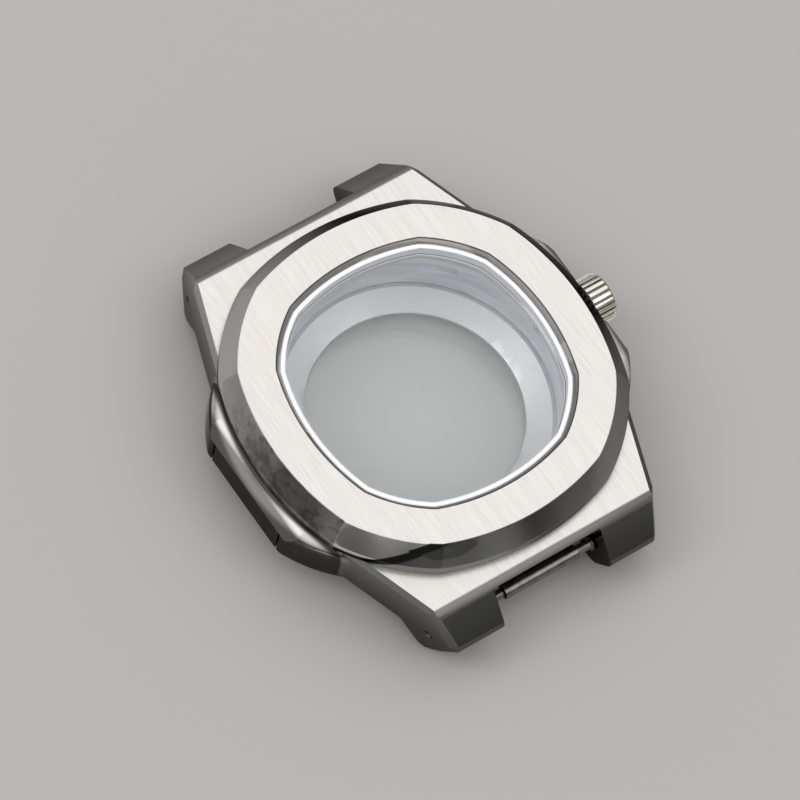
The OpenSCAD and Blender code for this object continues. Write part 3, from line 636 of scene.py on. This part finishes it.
def moulded(name, colour, dark, gloss, patch_mm, streak=False, glow=0.0):
    """Moulded plastic or rubber: even colour with slight flow marks and a fine skin."""
    material, tree, out = new_material(name)
    place = add(tree, "ShaderNodeTexCoord").outputs["Object"]
    drawn = place
    if streak:
        drawn = add(tree, MAPPING, {"Vector": place, "Scale": FLOW_SCALE}, vector_type="POINT")
    flow = {"Vector": drawn, "Scale": 1 / (patch_mm * MM), "Detail": 3.0, "Distortion": 0.6}
    cloud = add(tree, NOISE, flow)
    skin = add(tree, NOISE, {"Vector": place, "Scale": 1 / SKIN_GRAIN, "Detail": 2.0})
    tone = add(tree, RANGE, (cloud, 0.35, 0.68))
    body = add(
        tree,
        SURFACE,
        {
            "Base Color": add(tree, MIX, (tone, dark, colour), data_type="RGBA"),
            "Roughness": add(tree, RANGE, (cloud, 0.0, 1.0, gloss * 0.85, gloss * 1.15)),
            "IOR": PLASTIC_IOR,
            # A given glow is painted light: the part emits though it is no lamp
            "Emission Color": colour,
            "Emission Strength": glow,
            "Normal": add(tree, BUMP, {"Strength": 0.1, "Distance": 0.01 * MM, "Height": skin}),
        },
    )
    tree.links.new(body.outputs["BSDF"], out.inputs["Surface"])
    return material


def paint(node_name, material):
    """Gives a carried-over CAD node its material."""
    piece = frame["nodes"][node_name]
    if not piece.material_slots:
        piece.data.materials.append(material)
    for holder in piece.material_slots:
        holder.material = material


def finish_piece(shape, node_name, material):
    """Turns a bmesh into the piece that stands for a CAD node, on that node's body."""
    mesh = bpy.data.meshes.new(f"{node_name}_finished")
    shape.to_mesh(mesh)
    shape.free()
    piece = bpy.data.objects.new(f"{node_name}_finished", mesh)
    bpy.context.scene.collection.objects.link(piece)
    mesh.materials.append(material)
    bodies = frame["record"]["behaviour"]["bodies"]
    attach(piece, next(body for body, names in bodies.items() if node_name in names))
    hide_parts(node_name)
    return piece


def ground_copy(node_name, material, crisp_deg, edge):
    """The CAD node's own solid, with its facets smoothed and its sharp edges broken as by grinding."""
    shape = bmesh.new()
    shape.from_mesh(frame["nodes"][node_name].data)
    bmesh.ops.remove_doubles(shape, verts=shape.verts, dist=MERGE)
    bmesh.ops.dissolve_degenerate(shape, edges=shape.edges, dist=MERGE)
    bmesh.ops.dissolve_limit(shape, angle_limit=math.radians(LEVEL_DEG), verts=shape.verts, edges=shape.edges)
    for face in shape.faces:
        face.smooth = True
    for rim in shape.edges:
        turn = math.degrees(rim.calc_face_angle(0)) if len(rim.link_faces) == 2 else 0
        rim.smooth = not crisp_deg < turn < EDGE_DEG
    piece = finish_piece(shape, node_name, material)
    broken = piece.modifiers.new("broken_edges", "BEVEL")
    broken.limit_method = "ANGLE"
    broken.angle_limit = math.radians(EDGE_DEG)
    broken.width = edge
    broken.segments = 2
    broken.profile = 0.5
    broken.use_clamp_overlap = True
    even = piece.modifiers.new("even_shading", "WEIGHTED_NORMAL")
    even.keep_sharp = True
    return piece


def spring_half(bar, end, plane_way, steel):
    """Half of a bar's coil spring, on the side of the pin at that end, which presses the spring together; the
    half is rigid.
    """
    node_name = f"{bar}_spring"
    low, high = (Vector(corner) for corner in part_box(node_name))
    middle = (low + high) / 2
    shape = bmesh.new()
    shape.from_mesh(frame["nodes"][node_name].data)
    bmesh.ops.remove_doubles(shape, verts=shape.verts, dist=MERGE)
    whole = [*shape.verts, *shape.edges, *shape.faces]
    cut = {"plane_co": middle, "plane_no": (plane_way, 0, 0), "clear_outer": True}
    bmesh.ops.bisect_plane(shape, geom=whole, dist=MERGE, **cut)
    bmesh.ops.remove_doubles(shape, verts=shape.verts, dist=MERGE)
    bmesh.ops.dissolve_degenerate(shape, edges=shape.edges, dist=MERGE)
    rims = [edge for edge in shape.edges if edge.is_boundary]
    bmesh.ops.edgeloop_fill(shape, edges=rims)
    bmesh.ops.recalc_face_normals(shape, faces=shape.faces)
    for face in shape.faces:
        face.smooth = True
    half = finish_piece(shape, node_name, steel)
    half.name = half.data.name = f"{node_name}_{end}"
    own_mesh(half)
    return half


def seal_ring(node_name, material, axis, centre, radius, half_width, half_length):
    """A moulded seal of round section, spun about its axis."""
    axis = Vector(axis)
    out = Vector((0, 0, 1)) if abs(axis.z) < 0.5 else Vector((1, 0, 0))
    side = axis.cross(out)
    shape = bmesh.new()
    made = bmesh.ops.create_circle(shape, segments=SEAL_SIDES, radius=1.0)
    turn = Matrix((out * half_width, axis * half_length, side)).transposed().to_4x4()
    turn.translation = Vector(centre) + out * radius
    bmesh.ops.transform(shape, matrix=turn, verts=made["verts"])
    bmesh.ops.spin(
        shape,
        geom=list(shape.verts) + list(shape.edges),
        cent=centre,
        axis=axis,
        angle=math.tau,
        steps=SEAL_STEPS,
        use_merge=True,
    )
    bmesh.ops.remove_doubles(shape, verts=shape.verts, dist=MERGE)
    bmesh.ops.recalc_face_normals(shape, faces=shape.faces)
    for face in shape.faces:
        face.smooth = True
    return finish_piece(shape, node_name, material)


class CASE_OT_steel(bpy.types.Operator):
    """Brushes the flats and polishes the flanks of the case middle and the bezel"""

    bl_idname = "watch_case.steel"
    bl_label = "Case and bezel"

    def execute(self, context):
        look = context.scene.watch_steel
        name = "brushed_and_polished_case_steel"
        steel = two_finish_steel(name, look, CASE_FLAT, case_polish, CASE_GLARE)
        ground_copy("mid_case", steel, CRISP_ROLLED, look.edge_round)
        name = "brushed_and_polished_bezel_steel"
        steel = two_finish_steel(name, look, BEZEL_FLAT, bezel_polish, BEZEL_GLARE)
        ground_copy("bezel", steel, CRISP_OCTAGON, look.edge_round)
        return {"FINISHED"}


class CASE_OT_glass(bpy.types.Operator):
    """Makes the crystal and the back's window clear, and finishes the ring round the crystal"""

    bl_idname = "watch_case.glass"
    bl_label = "Crystal, window and their gaskets"

    def execute(self, context):
        look = context.scene.watch_clear
        # The coating takes most of sapphire's glare away, so its IOR is written lower
        sapphire = clear_glass("coated_sapphire", look, COATED_IOR)
        ground_copy("crystal", sapphire, CRISP_OCTAGON, 0.04 * MM)
        paint("caseback_glass", clear_glass("polished_mineral_glass", look, MINERAL_IOR))
        white = with_alpha(look.nylon)
        # The gasket gets a painted glow, standing in for the light that the clear crystal carries to its edge
        nylon = moulded("white_nylon", white, linear("f7f7f9"), 0.4, 1.5, glow=0.16)
        ground_copy("crystal_gasket", nylon, CRISP_ROUND, 0.1 * MM)
        return {"FINISHED"}


class CASE_OT_inside(bpy.types.Operator):
    """Finishes the movement ring"""

    bl_idname = "watch_case.inside"
    bl_label = "Movement ring"

    def execute(self, context):
        look = context.scene.watch_clear
        milky = with_alpha(look.plastic)
        plastic = moulded("milky_movement_ring", milky, linear("d4d3dc"), 0.38, 3.0, streak=True)
        ground_copy("movement_ring", plastic, CRISP_ROUND, 0.08 * MM)
        return {"FINISHED"}


class CASE_OT_crown(bpy.types.Operator):
    """Finishes the crown, its tube and the washer of its seal"""

    bl_idname = "watch_case.crown"
    bl_label = "Crown"

    def execute(self, context):
        satin = crown_steel(context.scene.watch_crown)
        ground_copy("crown", satin, CRISP_ROLLED, 0.035 * MM)
        tube = turned_steel("turned_tube_steel", "d8d6d2", "b3b0ac", 0.22)
        ground_copy("crown_tube", tube, CRISP_ROUND, 0.06 * MM)
        paint("crown_washer", turned_steel("turned_washer_steel", "d8d6d2", "b3b0ac", 0.25))
        return {"FINISHED"}


class CASE_OT_back(bpy.types.Operator):
    """Finishes the screwed back"""

    bl_idname = "watch_case.back"
    bl_label = "Screwed back"

    def execute(self, context):
        satin = turned_steel("satin_back_steel", "d5d4d7", "cfced1", 0.5)
        ground_copy("caseback_ring", satin, CRISP_ROUND, 0.08 * MM)
        return {"FINISHED"}


class CASE_OT_bars(bpy.types.Operator):
    """Finishes the spring bars"""

    bl_idname = "watch_case.bars"
    bl_label = "Spring bars"

    def execute(self, context):
        tube = turned_steel("drawn_bar_steel", "8f8b86", "6d6a65", 0.26)
        spring = turned_steel("spring_steel_wire", "b9b7b4", "8f8c88", 0.28)
        for bar in ("bar_12", "bar_6"):
            for part in ("tube", "pin_left", "pin_right"):
                ground_copy(f"{bar}_{part}", tube, CRISP_ROUND, 0.05 * MM)
            spring_half(bar, "left", 1, spring)
            spring_half(bar, "right", -1, spring)
        return {"FINISHED"}


class CASE_OT_seals(bpy.types.Operator):
    """Finishes the black seals"""

    bl_idname = "watch_case.seals"
    bl_label = "Seals"

    def execute(self, context):
        look = context.scene.watch_clear
        rubber = moulded("black_nitrile_rubber", with_alpha(look.rubber), linear("141415"), 0.55, 1.0)
        for name in ("bezel_gasket", "caseback_window_gasket"):
            paint(name, rubber)
        self.round_seal("caseback_gasket", rubber, (0, 0, 1))
        self.round_seal("crown_gasket", rubber, (1, 0, 0))
        return {"FINISHED"}

    def round_seal(self, node_name, rubber, axis):
        """A seal of round section in the space of its CAD ring."""
        low, high = (Vector(corner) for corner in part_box(node_name))
        centre, size = (low + high) / 2, high - low
        length = abs(size.dot(Vector(axis)))
        outer = size.y / 2
        inner = min(
            math.hypot(*(value for value, way in zip(corner.co - centre, axis) if not way))
            for corner in frame["nodes"][node_name].data.vertices
        )
        radius, half_width = (outer + inner) / 2, (outer - inner) / 2
        seal_ring(node_name, rubber, axis, centre, radius, half_width, length / 2)


class CASE_OT_studio(bpy.types.Operator):
    """Builds the floor, the lamps, the dome and the camera"""

    bl_idname = "watch_case.studio"
    bl_label = "Studio"

    def execute(self, context):
        scene = context.scene
        studio = scene.watch_studio
        self.floor(scene, studio)
        self.dome(scene, studio)
        for name, glow, size, place in SOFTBOXES:
            self.softbox(scene, name, getattr(studio, glow), size, place)
        self.camera(scene, studio)
        scene.view_settings.view_transform = "Standard"
        return {"FINISHED"}

    def floor(self, scene, studio):
        """A wide sheet of pale matt paper."""
        shape = bmesh.new()
        bmesh.ops.create_grid(shape, x_segments=8, y_segments=8, size=FLOOR_HALF)
        mesh = bpy.data.meshes.new("studio_floor")
        shape.to_mesh(mesh)
        shape.free()
        floor = bpy.data.objects.new("studio_floor", mesh)
        scene.collection.objects.link(floor)
        material, tree, out = new_material("matt_studio_paper")
        place = add(tree, "ShaderNodeTexCoord").outputs["Object"]
        cloud = add(tree, NOISE, {"Vector": place, "Scale": 1 / PAPER_PATCH, "Detail": 2.0})
        tone = add(tree, RANGE, (cloud, 0.0, 1.0, 0.97, 1.0))
        tinted = (1.0, with_alpha(studio.floor), tone)
        shade = add(tree, MIX, tinted, data_type="RGBA", blend_type="MULTIPLY")
        paper = add(tree, SURFACE, {"Base Color": shade, "Roughness": 0.9, "Specular IOR Level": 0.1})
        tree.links.new(paper.outputs["BSDF"], out.inputs["Surface"])
        mesh.materials.append(material)

    def dome(self, scene, studio):
        """A studio that is light overhead and dark near the floor."""
        world = bpy.data.worlds.new("studio_dome")
        scene.world = world
        world.use_nodes = True
        tree = world.node_tree
        tree.nodes.clear()
        out = add(tree, "ShaderNodeOutputWorld")
        way = add(tree, "ShaderNodeTexCoord").outputs["Generated"]
        axes = add(tree, AXES, (way,))
        ceiling = (axes.outputs["Z"], *DOME_RISE, studio.dome_low, studio.dome_top)
        rise = add(tree, RANGE, ceiling, **EASED)
        # Dim shapes of a room in the dark band, which the polished flanks mirror
        room = add(tree, NOISE, {"Vector": way, "Scale": 3.2, "Detail": 2.0, "Distortion": 0.8})
        shapes = add(tree, RANGE, (room, *ROOM_SPAN, *ROOM_GLOW))
        low = add(tree, RANGE, (axes.outputs["Z"], *ROOM_TOP, 1.0, 0.0))
        share = add(tree, MIX, (low, 1.0, shapes), data_type="FLOAT")
        power = add(tree, MATH, (rise, share), operation="MULTIPLY")
        glow = add(tree, "ShaderNodeBackground", {"Color": WHITE, "Strength": power})
        tree.links.new(glow.outputs["Background"], out.inputs["Surface"])

    def softbox(self, scene, name, glow, size, place):
        """A square lamp facing the case, with the given radiance."""
        lamp = bpy.data.lights.new(name, "AREA")
        lamp.shape = "SQUARE"
        lamp.size = size
        lamp.energy = glow * math.pi * size * size
        holder = bpy.data.objects.new(name, lamp)
        place = Vector(place)
        aim = Vector(LAMPS_AIM) - place
        turn = aim.to_track_quat("-Z", "Y").to_matrix().to_4x4()
        holder.matrix_world = Matrix.Translation(place) @ turn
        scene.collection.objects.link(holder)

    def camera(self, scene, studio):
        """The camera at the photograph's place, turn and lens."""
        lens = bpy.data.cameras.new("photo_camera")
        lens.lens = studio.lens
        lens.sensor_width = 36.0
        lens.clip_start = LENS_NEAR
        lens.clip_end = LENS_FAR
        camera = bpy.data.objects.new("photo_camera", lens)
        level = math.cos(studio.elevation)
        ahead = Vector((math.cos(studio.azimuth), math.sin(studio.azimuth), 0)) * level
        ahead.z = -math.sin(studio.elevation)
        right = ahead.cross(Vector((0, 0, 1))).normalized()
        up = right.cross(ahead)
        turn = Matrix.Rotation(-studio.roll, 3, ahead)
        right, up = turn @ right, turn @ up
        axes = Matrix((right, up, -ahead)).transposed()
        place = Vector(studio.aim) - ahead * studio.distance
        camera.matrix_world = Matrix.Translation(place) @ axes.to_4x4()
        scene.collection.objects.link(camera)
        scene.camera = camera


class CASE_PT_panel(bpy.types.Panel):
    """Lists the steps that dress the watch case"""

    bl_label = "Watch case"
    bl_idname = "CASE_PT_panel"
    bl_space_type = "VIEW_3D"
    bl_region_type = "UI"
    bl_category = "Watch case"

    def draw(self, context):
        for step in OPERATORS:
            self.layout.operator(step.bl_idname)


GROUPS = {
    "watch_steel": SteelLook,
    "watch_clear": ClearLook,
    "watch_crown": CrownSizes,
    "watch_studio": StudioSetup,
}
OPERATORS = (
    CASE_OT_studio,
    CASE_OT_steel,
    CASE_OT_glass,
    CASE_OT_inside,
    CASE_OT_crown,
    CASE_OT_back,
    CASE_OT_bars,
    CASE_OT_seals,
)


def register():
    """Adds the settings, the steps and the panel to Blender."""
    for name, group in GROUPS.items():
        bpy.utils.register_class(group)
        setattr(bpy.types.Scene, name, bpy.props.PointerProperty(type=group))
    for step in OPERATORS:
        bpy.utils.register_class(step)
    bpy.utils.register_class(CASE_PT_panel)


def unregister():
    """Takes them out again."""
    bpy.utils.unregister_class(CASE_PT_panel)
    for step in reversed(OPERATORS):
        bpy.utils.unregister_class(step)
    for name, group in GROUPS.items():
        delattr(bpy.types.Scene, name)
        bpy.utils.unregister_class(group)


def main():
    """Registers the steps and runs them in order."""
    register()
    for step in OPERATORS:
        group, name = step.bl_idname.split(".")
        getattr(getattr(bpy.ops, group), name)()


if __name__ == "__main__":
    main()
